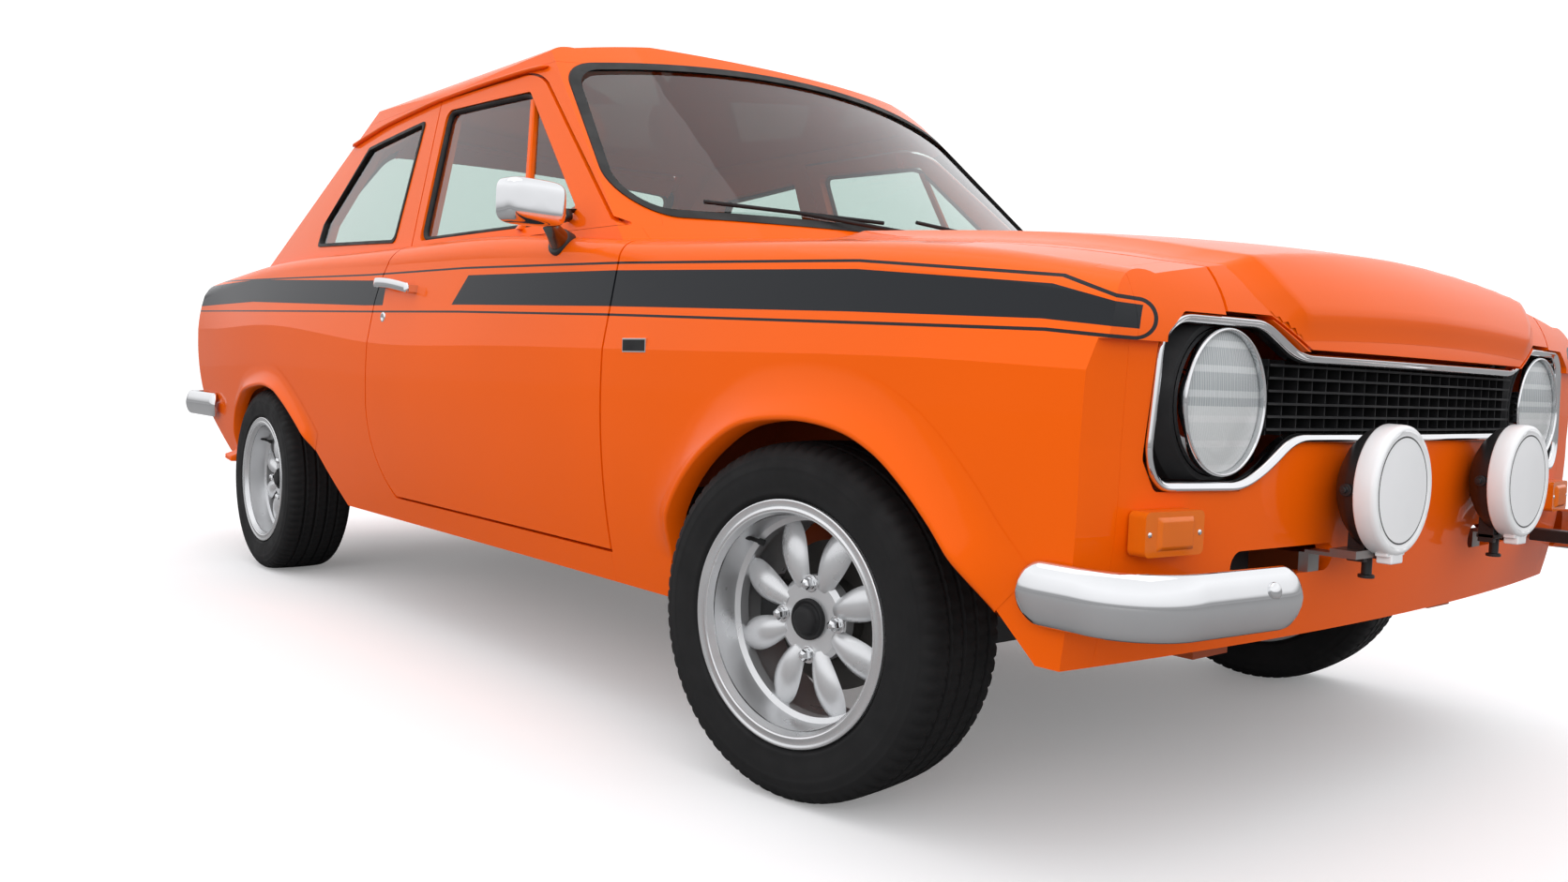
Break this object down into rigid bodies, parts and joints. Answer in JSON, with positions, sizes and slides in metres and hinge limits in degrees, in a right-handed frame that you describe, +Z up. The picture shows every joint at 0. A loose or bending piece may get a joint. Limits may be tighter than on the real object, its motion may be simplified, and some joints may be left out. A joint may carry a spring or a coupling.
{
  "type": "two-door rally saloon car",
  "caption": "Small two-door rally saloon with hollow cabin, opening doors and lids, steered front wheels and spot lamps.",
  "frame": {"origin": "on the ground, midway between the car's ends, on its centre line", "axes": "+X forward, +Y to the car's left, +Z up"},
  "size_m": [3.9472, 1.8068, 1.3781],
  "materials": {
    "body_paint": "gloss",
    "inner_paint": "satin",
    "tyre": "matte",
    "wheel_silver": "satin",
    "cast_iron": "matte",
    "chassis_black": "satin",
    "exhaust_steel": "dull",
    "glass": "gloss",
    "amber_lens": "gloss",
    "red_lens": "gloss",
    "chrome": "polished",
    "black_plastic": "matte",
    "black_vinyl": "grained",
    "rubber": "matte",
    "lamp_white": "gloss",
    "lamp_bar_steel": "satin"
  },
  "bodies": {
    "root": {"body_side_left": "body_paint", "body_side_right": "body_paint", "bumpers": "chrome", "dashboard": "black_plastic", "drivetrain": "chassis_black", "engine_bay": "inner_paint", "exhaust": "exhaust_steel", "fixed_glass": "glass", "floor_pan": "inner_paint", "front_panel": "body_paint", "front_seats": "black_vinyl", "front_suspension": "chassis_black", "front_wing_left": "body_paint", "front_wing_right": "body_paint", "grille": "black_plastic", "grille_surround": "chrome", "headlamp_lenses": "glass", "headlamps": "chrome", "indicators": "amber_lens", "lamp_bars": "lamp_bar_steel", "mud_flaps": "rubber", "rear_axle": "chassis_black", "rear_deck": "body_paint", "rear_panel": "body_paint", "rear_seat": "black_vinyl", "roof_panel": "body_paint", "scuttle_panel": "body_paint", "spot_lamps": "lamp_white", "tail_lamps": "red_lens", "window_rubbers": "rubber", "wipers": "black_plastic"},
    "knuckle_left": {"knuckle_left": "chassis_black"},
    "knuckle_right": {"knuckle_right": "chassis_black"},
    "steering_wheel": {"steering_wheel": "black_plastic"},
    "wheel_fl": {"tyre_fl": "tyre", "rim_fl": "wheel_silver", "brake_fl": "cast_iron"},
    "wheel_fr": {"tyre_fr": "tyre", "rim_fr": "wheel_silver", "brake_fr": "cast_iron"},
    "wheel_rl": {"tyre_rl": "tyre", "rim_rl": "wheel_silver", "brake_rl": "cast_iron"},
    "wheel_rr": {"tyre_rr": "tyre", "rim_rr": "wheel_silver", "brake_rr": "cast_iron"},
    "door_left": {"door_left": "body_paint", "door_glass_left": "glass", "door_fittings_left": "chrome"},
    "door_right": {"door_right": "body_paint", "door_glass_right": "glass", "door_fittings_right": "chrome"},
    "bonnet": {"bonnet": "body_paint"},
    "boot_lid": {"boot_lid": "body_paint"}
  },
  "joints": [
    {"name": "steer_left", "type": "hinge", "parent": "root", "child": "knuckle_left", "pos_m": [1.29, 0.625, 0.17], "axis": [0, -0.2389, 0.971], "range_deg": [-41, 25]},
    {"name": "steer_right", "type": "hinge", "parent": "root", "child": "knuckle_right", "pos_m": [1.29, -0.625, 0.17], "axis": [0, 0.2389, 0.971], "range_deg": [-41, 25]},
    {"name": "steering_wheel_turn", "type": "hinge", "parent": "root", "child": "steering_wheel", "pos_m": [0.395, -0.358, 0.768], "axis": [-0.9135, 0, 0.4067], "range_deg": [-720, 440]},
    {"name": "wheel_fl_spin", "type": "hinge", "parent": "knuckle_left", "child": "wheel_fl", "pos_m": [1.2785, 0.68522, 0.26781], "axis": [-0.1351, 0.9908, -0.0023], "continuous": true},
    {"name": "wheel_fr_spin", "type": "hinge", "parent": "knuckle_right", "child": "wheel_fr", "pos_m": [1.3015, -0.68522, 0.26781], "axis": [-0.1351, 0.9908, 0.0023], "continuous": true},
    {"name": "wheel_rl_spin", "type": "hinge", "parent": "root", "child": "wheel_rl", "pos_m": [-1.11, 0.686, 0.268], "axis": [0, 1, 0], "continuous": true},
    {"name": "wheel_rr_spin", "type": "hinge", "parent": "root", "child": "wheel_rr", "pos_m": [-1.11, -0.686, 0.268], "axis": [0, 1, 0], "continuous": true},
    {"name": "door_left_open", "type": "hinge", "parent": "root", "child": "door_left", "pos_m": [0.808, 0.788, 0.6], "axis": [0, 0, -1], "range_deg": [0, 62]},
    {"name": "door_right_open", "type": "hinge", "parent": "root", "child": "door_right", "pos_m": [0.808, -0.788, 0.6], "axis": [0, 0, 1], "range_deg": [0, 62]},
    {"name": "bonnet_open", "type": "hinge", "parent": "root", "child": "bonnet", "pos_m": [0.985, 0, 0.912], "axis": [0, -1, 0], "range_deg": [0, 55]},
    {"name": "boot_open", "type": "hinge", "parent": "root", "child": "boot_lid", "pos_m": [-1.452, 0, 0.925], "axis": [0, 1, 0], "range_deg": [0, 75]}
  ],
  "couplings": [
    {"joint": "steer_right", "follows": "steer_left", "ratio": 1},
    {"joint": "steering_wheel_turn", "follows": "steer_left", "ratio": 16}
  ]
}
